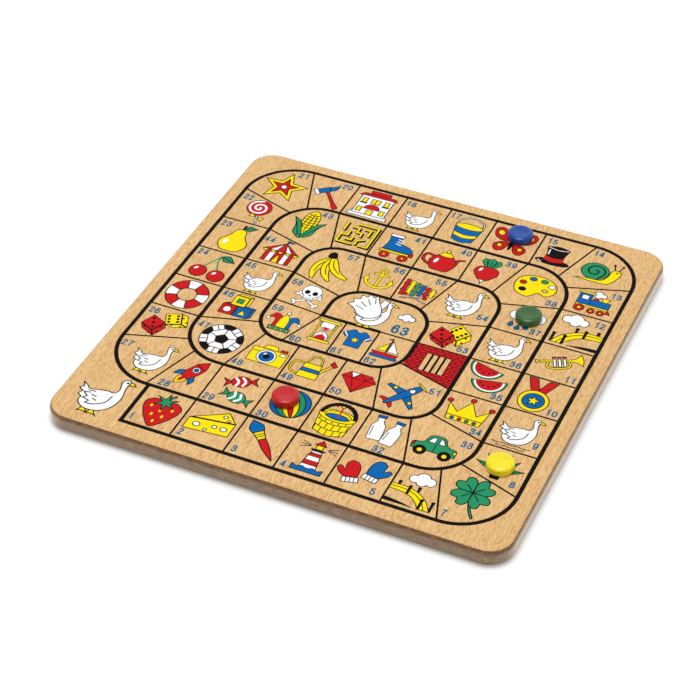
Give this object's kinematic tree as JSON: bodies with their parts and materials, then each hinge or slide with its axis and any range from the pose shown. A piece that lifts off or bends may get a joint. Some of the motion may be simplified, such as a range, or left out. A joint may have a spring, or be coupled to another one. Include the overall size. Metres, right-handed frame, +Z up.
{
  "type": "game board",
  "caption": "Square veneered wooden game board with rounded corners and edges, a printed spiral track on its play face, and turned painted counters lying on it.",
  "frame": {"origin": "centre of the underside, where the board lies on a table", "axes": "+Z up out of the play face, -Y towards the front edge, from which the numbers read upright, +X to the right"},
  "size_m": [0.4, 0.4, 0.0233],
  "materials": {
    "fibreboard": "lacquered fibreboard edge, satin",
    "beech_veneer": "satin lacquered beech, screen printed",
    "red_paint": "gloss red paint on turned wood",
    "blue_paint": "gloss blue paint on turned wood",
    "green_paint": "gloss green paint on turned wood",
    "yellow_paint": "gloss yellow paint on turned wood"
  },
  "bodies": {
    "board": {"core_panel": "fibreboard", "face_veneer": "beech_veneer", "back_veneer": "beech_veneer"},
    "red_counter": {"counter_red": "red_paint"},
    "blue_counter": {"counter_blue": "blue_paint"},
    "green_counter": {"counter_green": "green_paint"},
    "yellow_counter": {"counter_yellow": "yellow_paint"}
  },
  "joints": [
    {"name": "red_lift", "type": "slide", "parent": "board", "child": "red_counter", "axis": [0, 0, 1], "range_m": [0, 0.05]},
    {"name": "blue_lift", "type": "slide", "parent": "board", "child": "blue_counter", "axis": [0, 0, 1], "range_m": [0, 0.05]},
    {"name": "green_lift", "type": "slide", "parent": "board", "child": "green_counter", "axis": [0, 0, 1], "range_m": [0, 0.05]},
    {"name": "yellow_lift", "type": "slide", "parent": "board", "child": "yellow_counter", "axis": [0, 0, 1], "range_m": [0, 0.05]}
  ]
}
